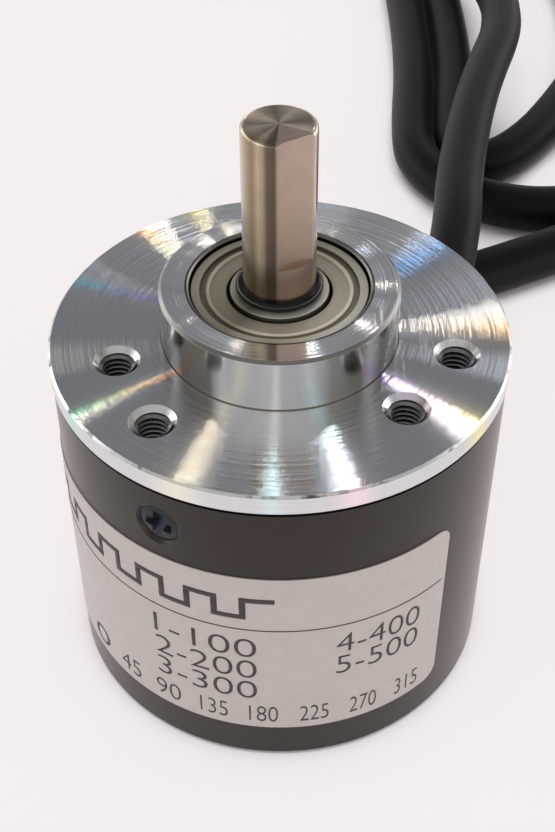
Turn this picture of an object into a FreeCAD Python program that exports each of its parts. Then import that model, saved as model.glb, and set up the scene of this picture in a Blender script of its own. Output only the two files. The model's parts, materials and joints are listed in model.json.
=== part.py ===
import FreeCAD, Part
import math
import os

os.makedirs("parts", exist_ok=True)
Vector = FreeCAD.Vector
up = Vector(0, 0, 1)

# An incremental rotary encoder, in millimetres and degrees.
# The mounting face is z = 0, and the shaft points up.
# Housing
can_dia = 38.8
flange_lip = 0.1
flange_rim = 1.8
flange_chamfer = 0.2
spigot_wall = 2.5
spigot_height = 5.0
spigot_chamfer = 0.25
bore_chamfer = 0.15
can_wall = 1.0
can_floor = 1.5
can_chamfer = 0.5
body_depth = 34.0
plug_depth = 9.5
plug_gap = 0.05
gasket_thickness = 0.4
gasket_inset = 0.4

# Tapped holes in the mounting face, two rings of three: how far in from the can's wall, and the first angle
tap_dia = 3.0
tap_depth = 8.0
tap_mouth = 0.45
tap_rings = ((5.4, 76.0), (4.4, 108.0))
tap_count = 3

# Shaft and its bearings
shaft_dia = 6.0
shaft_reach = 15.0
shaft_round = 0.4
shaft_chamfer = 0.4
shaft_ease = 0.005
shaft_tail = 1.0
flat_depth = 0.5
flat_length = 11.5
flat_angle = -60.0
bearing_od = 15.0
bearing_width = 5.0
bearing_recess = 0.4
race_chamfer = 0.2
race_shelf = 0.5
ball_section_share = 0.618
ball_width_share = 0.556
ball_count = 7
ball_gap = 0.02
groove_depth = 0.24
pocket_gap = 0.04
cage_wall = 1.0
cage_skirt = 0.2
cage_back = 0.3
shield_thickness = 0.2
shield_gap = 0.25
shield_rim = 0.45
shield_bead = 0.4
shield_bead_drop = 0.08
bead_slope = 0.1
o_ring_thickness = 0.85
o_ring_squeeze = 0.95
o_ring_groove = 0.2

# Code disc, hub and optics
clip_thickness = 0.6
clip_grip = 0.4
hub_gap = 1.0
hub_length = 5.0
hub_wall = 2.2
hub_rim_height = 1.5
set_screw_drop = 1.6
disc_thickness = 0.3
slit_count = 36
slit_size = (1.5, 0.6)
slit_edge = 0.6
disc_clear = 0.7
grub_dia = 1.6
jaw_gap = 0.8
jaw_width = 7.0
jaw_reach = 2.4
jaw_clear = 0.5
jaw_height = 4.0
led_dia = 3.0
sensor_size = (3.2, 4.0, 0.9)
reticle_thickness = 0.25
reticle_inset = 0.2

# Circuit board and what it carries
board_thickness = 1.2
board_clear = 1.2
board_edge = 0.3
head_edge = 0.5
board_hole_gap = 0.2
pillar_across = 3.5
pillar_angle = 30.0
pillar_count = 3
pillar_hole = 5.0
stud_length = 2.8
stud_gap = 0.2
board_screw_core = 1.6
board_screw_head = (3.8, 1.3)
board_screw_grip = 4.0
chip_size = (5.0, 4.0, 1.5)
chip_place = (-7.0, -5.0)
capacitor_dia = 4.0
capacitor_height = 5.0
capacitor_place = (6.0, -8.0)
header_size = (3.0, 8.0)
header_reach = 9.5

# Side screws that hold the can on the flange
side_screw_drop = 5.9
side_screw_head = 3.8
side_screw_core = 1.6
side_screw_length = 5.0
side_screw_sunk = 0.2
side_screw_count = 3
screw_gap = 0.05

# Label round the can
label_thickness = 0.1
label_top = -9.5
label_height = 20.1
label_start_angle = -224.0
label_wrap_angle = 180.0
label_corner = 1.5

# Cable, its strain relief and its cores
cable_dia = 6.0
cable_angle = 60.0
cable_inside = 2.5
cable_straight = 14.0
wiring_room = 1.5
relief_wall = 0.8
relief_lip = 0.6
relief_lip_length = 1.5
relief_lip_gap = 0.2
relief_collar = 1.2
relief_collar_length = 1.6
relief_tail = 10.0
relief_ribs = 4
rib_share = 0.6
crimp_wall = 0.7
crimp_setback = 0.3
core_dia = 1.1
core_count = 5
core_pitch = 1.2
core_lift = 0.1
lead_reach = (4.0, 11.0, 17.0)
lead_fan = (1.0, 2.0, 3.6)
core_names = ("red_lead", "black_lead", "white_lead", "green_lead", "shield_lead")

# Free cable: it passes over the near folds of a loose hank behind the body, and its free end lies there too.
# The lead's heights are over the table, and the tail lies on it.
lead_route = [
    (21.3, 47.5, 9.6), (22.9, 62.0, 9.4), (27.2, 82.0, 9.4), (34.6, 105.0, 8.6),
    (31.5, 125.0, 8.4), (24.0, 143.0, 8.6), (21.8, 157.0, 4.2)]
tail_route = [
    (63.0, 103.0), (62.5, 88.0), (58.0, 73.0), (49.0, 61.0),
    (34.0, 52.6), (17.5, 44.6), (0.5, 39.8), (-9.0, 38.6)]
hank_left = 16.0
hank_right = 66.0
hank_near = 59.6
hank_far = 200.0
hank_left_width = 12.5
hank_right_width = 18.5
tie_width = 6.0
tie_thickness = 0.8
tie_place = 128.0

# Radii and heights that follow from the sizes above
shaft_r = shaft_dia / 2
can_r = can_dia / 2
can_bore = can_r - can_wall
flange_r = can_r + flange_lip
plug_r = can_bore - plug_gap
can_top = -flange_rim - gasket_thickness
seat_r = bearing_od / 2
spigot_r = seat_r + spigot_wall
race_section = seat_r - shaft_r
ball_r = min(ball_section_share * race_section, ball_width_share * bearing_width) / 2
ball_path = (shaft_r + seat_r) / 2
race_wall = race_section / 2 - ball_r + groove_depth
inner_race_r = shaft_r + race_wall
outer_race_bore = seat_r - race_wall
shield_edge = outer_race_bore + race_chamfer
half_width = bearing_width / 2
front_z = spigot_height - bearing_recess - half_width
hub_r = shaft_r + hub_wall
relief_inner = can_bore - relief_lip_length
board_r = relief_inner - board_edge
pillar_corner = pillar_across / math.sqrt(3)
pillar_r = board_r - pillar_corner
disc_r = pillar_r - pillar_corner - disc_clear
slit_outer = disc_r - slit_edge
slit_r = slit_outer - slit_size[0] / 2
jaw_inner = slit_r - jaw_reach
cable_r = cable_dia / 2
neck_r = cable_r + relief_wall
lip_r = neck_r + relief_lip
collar_r = neck_r + relief_collar
cable_end = relief_inner - cable_inside
core_r = core_dia / 2
screw_top = can_r - side_screw_sunk
screw_r = side_screw_core / 2

# The stack inside the can, from its floor up to the rear bearing
floor_z = -body_depth
cable_z = floor_z + can_floor + relief_lip_gap + lip_r
board_bottom = cable_z + cable_r + crimp_wall + wiring_room
board_top = board_bottom + board_thickness
shaft_bottom = board_top + board_clear
disc_bottom = shaft_bottom + shaft_tail
hub_bottom = disc_bottom + disc_thickness
jaw_top = hub_bottom + jaw_height
hub_top = hub_bottom + hub_length
clip_bottom = hub_top + hub_gap
bearing_end = clip_bottom + clip_thickness
boss_bottom = bearing_end - bearing_recess
rear_z = bearing_end + half_width


def turned(profile):
    # A solid of revolution about z from (radius, height) corners.
    corners = [Vector(r, 0, z) for r, z in profile]
    face = Part.Face(Part.makePolygon(corners + corners[:1]))
    return face.revolve(Vector(), up, 360).Solids[0]


def ring(inner, outer, low, high):
    body = Part.makeCylinder(outer, high - low, Vector(0, 0, low))
    return body.cut(Part.makeCylinder(inner, high - low, Vector(0, 0, low)))


def block(low, high):
    size = [b - a for a, b in zip(low, high)]
    return Part.makeBox(*size, Vector(*low))


def round_z(shape, angle):
    placed = shape.copy()
    placed.rotate(Vector(), up, angle)
    return placed


def outward(shape, angle, height):
    # Turns a shape built along +x to point out of the can at an angle and a height.
    placed = round_z(shape, angle)
    placed.translate(Vector(0, 0, height))
    return placed


def rod(radius, start, end):
    return Part.makeCylinder(radius, end - start, Vector(start, 0, 0), Vector(1, 0, 0))


def taper(start, start_r, end, end_r):
    return Part.makeCone(start_r, end_r, end - start, Vector(start, 0, 0), Vector(1, 0, 0))


def spread(first, count):
    # Angles evenly spread round the axis.
    return [first + 360 * i / count for i in range(count)]


def tapped_hole(radius, angle):
    tap_r = tap_dia / 2
    core = Part.makeCylinder(tap_r, tap_depth, Vector(radius, 0, -tap_depth))
    mouth = Part.makeCone(tap_r, tap_r + tap_mouth, tap_mouth, Vector(radius, 0, -tap_mouth))
    return round_z(core.fuse(mouth), angle)


def side_screw_hole(angle):
    # Countersink and tapped core for one side screw, shared by the can and the flange.
    mouth = 2 * can_r - screw_top
    mouth_r = side_screw_head / 2 + screw_gap + mouth - screw_top
    sink = taper(mouth - mouth_r + screw_r, screw_r, mouth, mouth_r)
    core = rod(screw_r, screw_top - side_screw_length - side_screw_sunk, can_r)
    return outward(sink.fuse(core), angle, -side_screw_drop)


def pillar_places():
    points = [round_z(Part.Vertex(pillar_r, 0, 0), a).Point for a in spread(pillar_angle, pillar_count)]
    return [(p.x, p.y) for p in points]


def mounting_flange():
    front_seat = front_z - half_width
    rear_seat = rear_z + half_width
    step_r = shield_edge
    body = turned([
        (seat_r + bore_chamfer, spigot_height), (spigot_r - spigot_chamfer, spigot_height),
        (spigot_r, spigot_height - spigot_chamfer), (spigot_r, 0),
        (flange_r - flange_chamfer, 0), (flange_r, -flange_chamfer),
        (flange_r, -flange_rim), (plug_r, -flange_rim), (plug_r, -plug_depth),
        (spigot_r, -plug_depth), (spigot_r, boss_bottom), (seat_r, boss_bottom), (seat_r, rear_seat),
        (step_r, rear_seat), (step_r, front_seat), (seat_r, front_seat),
        (seat_r, spigot_height - bore_chamfer)])
    tools = [side_screw_hole(a) for a in spread(0, side_screw_count)]
    for inset, first in tap_rings:
        tools += [tapped_hole(can_r - inset, a) for a in spread(first, tap_count)]
    for x, y in pillar_places():
        low = Vector(x, y, -plug_depth)
        tools.append(Part.makeCylinder(board_screw_core / 2, stud_length + stud_gap, low))
    return body.cut(tools)


def flange_gasket():
    return ring(plug_r, can_r - gasket_inset, can_top, -flange_rim)


def body_can():
    can = turned([
        (0, floor_z), (can_r - can_chamfer, floor_z), (can_r, floor_z + can_chamfer), (can_r, can_top),
        (can_bore, can_top), (can_bore, floor_z + can_floor), (0, floor_z + can_floor)])
    tools = [side_screw_hole(a) for a in spread(0, side_screw_count)]
    tools.append(outward(rod(neck_r, 0, can_r + relief_collar_length), cable_angle, cable_z))
    return can.cut(tools)


def can_screws():
    seat = screw_top - side_screw_head / 2 + screw_r
    head = taper(seat, screw_r, screw_top, side_screw_head / 2)
    screw = head.fuse(rod(screw_r, screw_top - side_screw_length, seat))
    return Part.makeCompound([outward(screw, a, -side_screw_drop) for a in spread(0, side_screw_count)])


def side_label():
    low = label_top - label_height
    band = ring(can_r, can_r + label_thickness, low, label_top)
    wedge = Part.makeCylinder(2 * can_r, label_height, Vector(0, 0, low), up, label_wrap_angle)
    sheet = band.common(round_z(wedge, label_start_angle)).Solids[0]
    short = [e for e in sheet.Edges if abs(e.Length - label_thickness) < label_thickness / 10]
    return sheet.makeFillet(label_corner, short)


def shaft():
    tip = spigot_height + shaft_reach
    flat_low = tip - flat_length
    free_r = shaft_r - shaft_ease
    clip_r = shaft_r - clip_grip
    ring_r = shaft_r - o_ring_groove
    shoulder_r = inner_race_r - 2 * race_chamfer
    seat_top = front_z + half_width
    ring_top = seat_top + o_ring_thickness
    body = turned([
        (0, tip), (free_r, tip), (free_r, flat_low),
        (shaft_r, flat_low), (shaft_r, ring_top), (ring_r, ring_top), (ring_r, seat_top),
        (shaft_r, seat_top), (shaft_r, front_z - half_width), (shoulder_r, front_z - half_width),
        (shoulder_r, rear_z + half_width), (shaft_r, rear_z + half_width),
        (shaft_r, bearing_end), (clip_r, bearing_end), (clip_r, clip_bottom), (shaft_r, clip_bottom),
        (shaft_r, shaft_bottom + shaft_chamfer), (shaft_r - shaft_chamfer, shaft_bottom),
        (0, shaft_bottom)])
    end_edges = [e for e in body.Edges if e.BoundBox.ZMin > tip - shaft_round and e.isClosed()]
    body = body.makeFillet(shaft_round, end_edges)
    flat = block((shaft_r - flat_depth, -shaft_r, flat_low), (2 * shaft_r, shaft_r, tip + flat_depth))
    return body.cut(round_z(flat, flat_angle))


def shaft_o_ring():
    # The ring fills its groove in the shaft and is pressed flat against the inner race.
    seat = front_z + half_width
    half = o_ring_thickness / 2
    inset = half * o_ring_squeeze
    inner = shaft_r - o_ring_groove
    torus = Part.makeTorus(inner + inset, half, Vector(0, 0, seat + inset))
    return torus.common(ring(inner, 2 * shaft_r, seat, seat + o_ring_thickness))


def retaining_ring():
    body = ring(shaft_r - clip_grip, inner_race_r + race_chamfer, clip_bottom, bearing_end)
    mouth = block((0, -shaft_r / 2, clip_bottom), (2 * shaft_r, shaft_r / 2, bearing_end))
    return body.cut(round_z(mouth, flat_angle))


def ball_centres():
    return [round_z(Part.Vertex(ball_path, 0, 0), a).Point for a in spread(0, ball_count)]


def outer_race():
    shelf = half_width - race_shelf
    body = turned([
        (shield_edge, half_width), (seat_r - race_chamfer, half_width), (seat_r, half_width - race_chamfer),
        (seat_r, race_chamfer - half_width), (seat_r - race_chamfer, -half_width),
        (shield_edge, -half_width), (shield_edge, -shelf), (outer_race_bore, -shelf),
        (outer_race_bore, shelf), (shield_edge, shelf)])
    return body.cut(Part.makeTorus(ball_path, ball_r + ball_gap))


def inner_race():
    body = turned([
        (shaft_r + race_chamfer, half_width), (inner_race_r, half_width), (inner_race_r, -half_width),
        (shaft_r + race_chamfer, -half_width), (shaft_r, race_chamfer - half_width),
        (shaft_r, half_width - race_chamfer)])
    return body.cut(Part.makeTorus(ball_path, ball_r + ball_gap))


def shields():
    # A thin plate at each face of the bearing, with its rim in the outer race and a pressed bead beside it.
    inner = inner_race_r + shield_gap
    plate = half_width - race_shelf + shield_thickness
    under = half_width - race_shelf
    crest = half_width - shield_bead_drop
    hollow = crest - shield_thickness
    bead_out = shield_edge - shield_rim
    bead_in = bead_out - shield_bead
    turn = shield_thickness / 2
    top = turned([
        (inner, under), (inner, plate), (bead_in, plate), (bead_in + bead_slope, crest),
        (bead_out - bead_slope, crest), (bead_out, plate), (shield_edge, plate), (shield_edge, under),
        (bead_out - turn, under), (bead_out - turn - bead_slope, hollow),
        (bead_in + turn + bead_slope, hollow), (bead_in + turn, under)])
    return Part.makeCompound([top, top.mirror(Vector(), up)])


def balls():
    return Part.makeCompound([Part.makeSphere(ball_r, c) for c in ball_centres()])


def cage():
    crown = ring(ball_path - cage_wall / 2, ball_path + cage_wall / 2, -cage_skirt, ball_r + cage_back)
    return crown.cut([Part.makeSphere(ball_r + pocket_gap, c) for c in ball_centres()])


def bearing(side, height):
    made = {}
    for make in (outer_race, inner_race, shields, balls, cage):
        shape = make()
        shape.translate(Vector(0, 0, height))
        made[side + "_" + make.__name__] = shape
    return made


def disc_hub():
    rim_r = jaw_inner - jaw_clear
    rim_top = hub_bottom + hub_rim_height
    body = turned([
        (shaft_r, hub_top), (hub_r, hub_top), (hub_r, rim_top), (rim_r, rim_top), (rim_r, hub_bottom),
        (shaft_r, hub_bottom)])
    return body.cut(outward(rod(grub_dia / 2, 0, 2 * hub_r), flat_angle, hub_top - set_screw_drop))


def hub_set_screw():
    return outward(rod(grub_dia / 2, shaft_r, hub_r), flat_angle, hub_top - set_screw_drop)


def code_disc():
    length, width = slit_size
    disc = ring(shaft_r, disc_r, disc_bottom, hub_bottom)
    slit = block((slit_outer - length, -width / 2, disc_bottom), (slit_outer, width / 2, hub_bottom))
    return disc.cut([round_z(slit, a) for a in spread(0, slit_count)])


def sensor_head():
    # A C-shaped holder that grips the light source above the disc's edge and the sensor below it.
    half = jaw_width / 2
    body = block((head_edge - board_r, -half, board_top), (-jaw_inner, half, jaw_top))
    low = (-disc_r - jaw_gap, -half, disc_bottom - jaw_gap)
    mouth = block(low, (-jaw_inner, half, hub_bottom + jaw_gap))
    window = sensor_window(screw_gap, board_top, disc_bottom)
    socket = Part.makeCylinder(led_dia / 2, jaw_height, Vector(-slit_r, 0, hub_bottom))
    return body.cut([mouth, window, socket])


def sensor_window(gap, low, high):
    length, width, _ = sensor_size
    half_length, half = length / 2 + gap, width / 2 + gap
    return block((-slit_r - half_length, -half, low), (half_length - slit_r, half, high))


def emitter_led():
    radius = led_dia / 2
    dome = hub_bottom + jaw_gap + radius
    place = Vector(-slit_r, 0, dome)
    return Part.makeCylinder(radius, jaw_top - dome, place).fuse(Part.makeSphere(radius, place))


def photo_sensor():
    return sensor_window(0, board_top, board_top + sensor_size[2])


def sensor_reticle():
    low = board_top + sensor_size[2]
    return sensor_window(-reticle_inset, low, low + reticle_thickness)


def circuit_board():
    board = Part.makeCylinder(board_r, board_thickness, Vector(0, 0, board_bottom))
    hole_r = board_screw_core / 2 + board_hole_gap
    for x, y in pillar_places():
        board = board.cut(Part.makeCylinder(hole_r, board_thickness, Vector(x, y, board_bottom)))
    return board


def board_pillars():
    made = []
    for x, y in pillar_places():
        angle = math.degrees(math.atan2(y, x))
        corners = [round_z(Part.Vertex(pillar_corner, 0, 0), 60 * i).Point for i in range(7)]
        hexagon = Part.Face(Part.makePolygon(corners))
        pillar = round_z(hexagon.extrude(Vector(0, 0, -plug_depth - board_top)), angle)
        pillar.translate(Vector(x, y, board_top))
        stud = Part.makeCylinder(board_screw_core / 2, stud_length, Vector(x, y, -plug_depth))
        hole = Part.makeCylinder(board_screw_core / 2, pillar_hole, Vector(x, y, board_top))
        made.append(pillar.fuse(stud).cut(hole))
    return Part.makeCompound(made)


def board_screws():
    head_dia, head_height = board_screw_head
    made = []
    for x, y in pillar_places():
        head = Part.makeCylinder(head_dia / 2, head_height, Vector(x, y, board_bottom - head_height))
        length = board_thickness + board_screw_grip
        shank = Part.makeCylinder(board_screw_core / 2, length, Vector(x, y, board_bottom))
        made.append(head.fuse(shank))
    return Part.makeCompound(made)


def line_driver_chip():
    x, y = chip_place
    length, width, height = chip_size
    return Part.makeBox(length, width, height, Vector(x - length / 2, y - width / 2, board_bottom - height))


def smoothing_capacitor():
    x, y = capacitor_place
    low = Vector(x, y, board_bottom - capacitor_height)
    return Part.makeCylinder(capacitor_dia / 2, capacitor_height, low)


def core_offsets():
    return [(i - (core_count - 1) / 2) * core_pitch for i in range(core_count)]


def wire_header():
    depth, width = header_size
    low = (header_reach - depth, -width / 2, cable_z - core_dia)
    return round_z(block(low, (header_reach, width / 2, board_bottom)), cable_angle)


def core_wires():
    made = []
    for offset in core_offsets():
        wire = rod(core_r, header_reach, cable_end)
        wire.translate(Vector(0, offset, 0))
        made.append(outward(wire, cable_angle, cable_z))
    return Part.makeCompound(made)


def cable_crimp():
    band = rod(cable_r + crimp_wall, cable_end + crimp_setback, relief_inner)
    return outward(band.cut(rod(cable_r, cable_end, can_r)), cable_angle, cable_z)


def strain_relief():
    # A rubber bush: a lip inside the can, a collar outside it and a ribbed tail along the cable.
    inside = Part.makeCylinder(can_bore, 4 * lip_r, Vector(0, 0, -2 * lip_r))
    outside = Part.makeCylinder(can_r, 4 * lip_r, Vector(0, 0, -2 * lip_r))
    collar_end = can_r + relief_collar_length
    tail_end = collar_end + relief_tail
    pitch = relief_tail / relief_ribs
    body = rod(lip_r, relief_inner, can_r).common(inside)
    body = body.fuse(rod(neck_r, relief_inner, collar_end))
    body = body.fuse(rod(collar_r, relief_inner, collar_end).cut(outside))
    body = body.fuse(taper(collar_end, neck_r, tail_end, cable_r + relief_wall / 2))
    for i in range(relief_ribs):
        end = collar_end + (i + 1) * pitch
        body = body.fuse(rod(neck_r + relief_wall / 2, end - pitch * rib_share, end))
    return outward(body.cut(rod(cable_r, 0, tail_end)), cable_angle, cable_z)


def cord_tube(points, radius, name):
    # Straight runs joined by tangent arcs, each as large as its two runs allow.
    edges, radii, start = [], [], points[0]
    for before, corner, after in zip(points, points[1:], points[2:]):
        back = (before - corner).normalize()
        ahead = (after - corner).normalize()
        half_turn = (math.pi - back.getAngle(ahead)) / 2
        reach = 0.45 * min(corner.distanceToPoint(before), corner.distanceToPoint(after))
        bend = reach / math.tan(half_turn)
        middle = corner + (back + ahead).normalize() * (bend / math.cos(half_turn) - bend)
        enter = corner + back * reach
        leave = corner + ahead * reach
        edges.append(Part.LineSegment(start, enter).toShape())
        edges.append(Part.Arc(enter, middle, leave).toShape())
        radii.append(round(bend, 1))
        start = leave
    edges.append(Part.LineSegment(start, points[-1]).toShape())
    path = Part.Wire(edges)
    section = Part.Face(Part.Wire(Part.makeCircle(radius, points[0], points[1] - points[0])))
    tube = path.makePipe(section)
    share = tube.Volume / (math.pi * radius ** 2 * path.Length)
    print(name, "length", round(path.Length, 1), "radii", radii, "volume share", round(share, 4))
    return tube


def cable_lead():
    ends = (cable_end, can_r + cable_straight)
    straight = [outward(Part.Vertex(reach, 0, 0), cable_angle, cable_z).Point for reach in ends]
    free = [Vector(x, y, floor_z + height) for x, y, height in lead_route]
    return cord_tube(straight + free, cable_r, "cable_lead")


def tail_points():
    return [Vector(x, y, floor_z + cable_r) for x, y in tail_route]


def cable_tail():
    return cord_tube(tail_points(), cable_r, "cable_tail")


def end_leads():
    # The bare cores fan out on the table from the cut end of the jacket.
    before, end = tail_points()[-2:]
    ahead = (end - before).normalize()
    side = up.cross(ahead)
    drop = up * (core_r + core_lift - cable_r)
    made = {}
    for name, offset in zip(core_names, core_offsets()):
        points = [end + side * offset]
        for reach, fan, sunk in zip(lead_reach, lead_fan, (0, 1, 1)):
            points.append(end + ahead * reach + side * offset * fan + drop * sunk)
        made[name] = cord_tube(points, core_r, name)
    return made


def racetrack(left, right, near, far, height):
    # A flat block with round ends, standing on the table.
    radius = (right - left) / 2
    middle = (left + right) / 2
    low, high = Vector(middle, near + radius, floor_z), Vector(middle, far - radius, floor_z)
    body = block((left, low.y, floor_z), (right, high.y, floor_z + height))
    ends = [Part.makeCylinder(radius, height, centre) for centre in (low, high)]
    return body.fuse(ends).removeSplitter()


def hank_tie():
    low_x, top = hank_right - hank_right_width, floor_z + cable_dia
    outer = block((low_x, tie_place, floor_z), (hank_right, tie_place + tie_width, top))
    inner = block((low_x + tie_thickness, tie_place, floor_z + tie_thickness),
                  (hank_right - tie_thickness, tie_place + tie_width, top - tie_thickness))
    return outer.cut(inner)


def cable_hank():
    outer = racetrack(hank_left, hank_right, hank_near, hank_far, cable_dia)
    hole = racetrack(hank_left + hank_left_width, hank_right - hank_right_width,
                     hank_near + hank_left_width, hank_far - hank_left_width, cable_dia)
    return outer.cut([hole, hank_tie()])


single_parts = [
    mounting_flange, flange_gasket, body_can, can_screws, side_label, shaft, shaft_o_ring, retaining_ring,
    disc_hub, hub_set_screw, code_disc, sensor_head, emitter_led, photo_sensor, sensor_reticle,
    circuit_board, board_pillars, board_screws, line_driver_chip, smoothing_capacitor, wire_header,
    core_wires, cable_crimp, strain_relief, cable_lead, cable_hank, cable_tail, hank_tie]
parts = {make.__name__: make() for make in single_parts}
parts.update(bearing("front", front_z))
parts.update(bearing("rear", rear_z))
parts.update(end_leads())
for name, shape in parts.items():
    shape.exportStep("parts/" + name + ".step")
    print(name, "solids", len(shape.Solids), "volume", round(shape.Volume, 2), "valid", shape.isValid())
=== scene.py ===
import json
import math

import bmesh
import bpy
from mathutils import Matrix, Vector


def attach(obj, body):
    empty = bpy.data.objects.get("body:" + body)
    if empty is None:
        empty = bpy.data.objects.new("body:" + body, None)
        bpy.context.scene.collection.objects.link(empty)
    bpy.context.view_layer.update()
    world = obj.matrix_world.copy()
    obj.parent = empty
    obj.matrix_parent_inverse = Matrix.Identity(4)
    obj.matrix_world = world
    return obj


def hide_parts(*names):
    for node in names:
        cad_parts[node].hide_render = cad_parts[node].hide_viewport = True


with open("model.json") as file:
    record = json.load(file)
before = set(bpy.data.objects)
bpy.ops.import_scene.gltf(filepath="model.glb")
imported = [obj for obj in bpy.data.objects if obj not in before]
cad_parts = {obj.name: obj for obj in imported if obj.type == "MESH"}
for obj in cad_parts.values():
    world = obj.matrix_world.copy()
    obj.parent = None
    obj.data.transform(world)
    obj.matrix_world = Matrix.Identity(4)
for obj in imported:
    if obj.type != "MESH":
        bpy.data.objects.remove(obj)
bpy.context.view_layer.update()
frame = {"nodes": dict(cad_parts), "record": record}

scene = bpy.context.scene
nodes = frame["nodes"]
mm = 0.001
tableZ = -34.0  # the can's lower face stands here, in mm


def linear(hexColour):
    channels = [int(hexColour[i:i + 2], 16) / 255 for i in (1, 3, 5)]
    return [c / 12.92 if c <= 0.04045 else ((c + 0.055) / 1.055) ** 2.4 for c in channels] + [1.0]


def addNode(tree, kind, settings={}, values={}, links={}):
    node = tree.nodes.new(kind)
    for key, value in settings.items():
        setattr(node, key, value)
    for key, value in values.items():
        node.inputs[key].default_value = value
    for key, output in links.items():
        tree.links.new(output, node.inputs[key])
    return node


def newMaterial(name, values):
    material = bpy.data.materials.new(name)
    material.use_nodes = True
    tree = material.node_tree
    shader = tree.nodes["Principled BSDF"]
    for key, value in values.items():
        shader.inputs[key].default_value = value
    place = addNode(tree, "ShaderNodeTexCoord")
    return material, tree, shader, place.outputs["Object"]


def setRamp(ramp, stops):
    elements = ramp.color_ramp.elements
    while len(elements) < len(stops):
        elements.new(0.5)
    for element, (position, colour) in zip(elements, stops):
        element.position = position
        element.color = linear(colour)


def byAngle(stops):
    # stops given by the angle round the axis, -180 to 180 degrees
    return [((angle + 180) / 360, colour) for angle, colour in stops]


def grained(name, low, high, grain, lift, values):
    # two near colours in grains of that size, in mm, and the same grains as a slight relief
    material, tree, shader, place = newMaterial(name, values)
    noise = addNode(tree, "ShaderNodeTexNoise", {}, {"Scale": 1 / (grain * mm), "Detail": 4.0}, {"Vector": place})
    ramp = addNode(tree, "ShaderNodeValToRGB", {}, {}, {"Fac": noise.outputs["Fac"]})
    setRamp(ramp, [(0.3, low), (0.7, high)])
    tree.links.new(ramp.outputs["Color"], shader.inputs["Base Color"])
    bump = addNode(tree, "ShaderNodeBump", {}, {"Distance": lift * mm}, {"Height": noise.outputs["Fac"]})
    tree.links.new(bump.outputs["Normal"], shader.inputs["Normal"])
    return material


def addMesh(name, mesh, material, smoothAngle=35):
    mesh.name = name
    mesh.polygons.foreach_set("use_smooth", [True] * len(mesh.polygons))
    mesh.set_sharp_from_angle(angle=math.radians(smoothAngle))
    item = bpy.data.objects.new(name, mesh)
    scene.collection.objects.link(item)
    item.data.materials.append(material)
    return item


def toMesh(shape, name):
    bmesh.ops.recalc_face_normals(shape, faces=shape.faces)
    mesh = bpy.data.meshes.new(name)
    shape.to_mesh(mesh)
    shape.free()
    return mesh


def baked(item):
    # the mesh with its modifiers applied; the working object is dropped
    graph = bpy.context.evaluated_depsgraph_get()
    mesh = bpy.data.meshes.new_from_object(item.evaluated_get(graph))
    bpy.data.objects.remove(item)
    return mesh


def polar(radius, angle, z):
    a = math.radians(angle)
    return Vector((radius * math.cos(a), radius * math.sin(a), z))


# fitted to the edges in the photograph
view = bpy.data.cameras.new("camera")
view.lens = 59.724
view.sensor_width = 36.0
view.clip_start = 0.005
viewer = bpy.data.objects.new("camera", view)
right = Vector((0.99999, -0.00052, -0.00315))
up = Vector((0.00265, 0.68417, 0.72932))
ahead = Vector((-0.00178, 0.72933, -0.68417))
turn = Matrix((right, up, -ahead)).transposed().to_4x4()
viewer.matrix_world = Matrix.Translation(Vector((0, -90.0347, 74.5249)) * mm) @ turn
scene.collection.objects.link(viewer)
scene.camera = viewer
print("camera placed")

finish = {}


# Metal with tool marks round its axis: every light is drawn out across the marks, into fans and upright bands
def ringMetal(name, low, high, pitch, depth, values):
    material, tree, shader, place = newMaterial(name, {"Metallic": 1.0, "Anisotropic Rotation": 0.25, **values})
    tangent = addNode(tree, "ShaderNodeTangent", {"direction_type": "RADIAL", "axis": "Z"})
    tree.links.new(tangent.outputs["Tangent"], shader.inputs["Tangent"])
    flatPlace = addNode(tree, "ShaderNodeVectorMath", {"operation": "MULTIPLY"}, {1: (1, 1, 0)}, {0: place})
    radius = addNode(tree, "ShaderNodeVectorMath", {"operation": "LENGTH"}, {}, {0: flatPlace.outputs["Vector"]})
    height = addNode(tree, "ShaderNodeSeparateXYZ", {}, {}, {"Vector": place})
    around = addNode(tree, "ShaderNodeTexGradient", {"gradient_type": "RADIAL"}, {}, {"Vector": place})
    # the marks follow each other outwards on a face and upwards on a wall
    feed = addNode(tree, "ShaderNodeMath", {"operation": "MULTIPLY_ADD"}, {1: 0.3},
                   {0: height.outputs["Z"], 2: radius.outputs["Value"]})
    marks = addNode(tree, "ShaderNodeTexNoise", {"noise_dimensions": "1D"},
                    {"Scale": 1 / (pitch * mm), "Detail": 0.0}, {"W": feed.outputs["Value"]})
    ramp = addNode(tree, "ShaderNodeValToRGB", {}, {}, {"Fac": marks.outputs["Fac"]})
    setRamp(ramp, [(0.3, low), (0.7, high)])
    tree.links.new(ramp.outputs["Color"], shader.inputs["Base Color"])
    # the narrow filter keeps the slopes true to the radius, or the fans would spread
    bump = addNode(tree, "ShaderNodeBump", {}, {"Strength": 1.0, "Distance": depth * mm, "Filter Width": 0.02},
                   {"Height": marks.outputs["Fac"]})
    tree.links.new(bump.outputs["Normal"], shader.inputs["Normal"])
    return (material, tree, shader, place, radius.outputs["Value"], height.outputs["Z"], around.outputs["Fac"],
            ramp.outputs["Color"])


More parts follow.
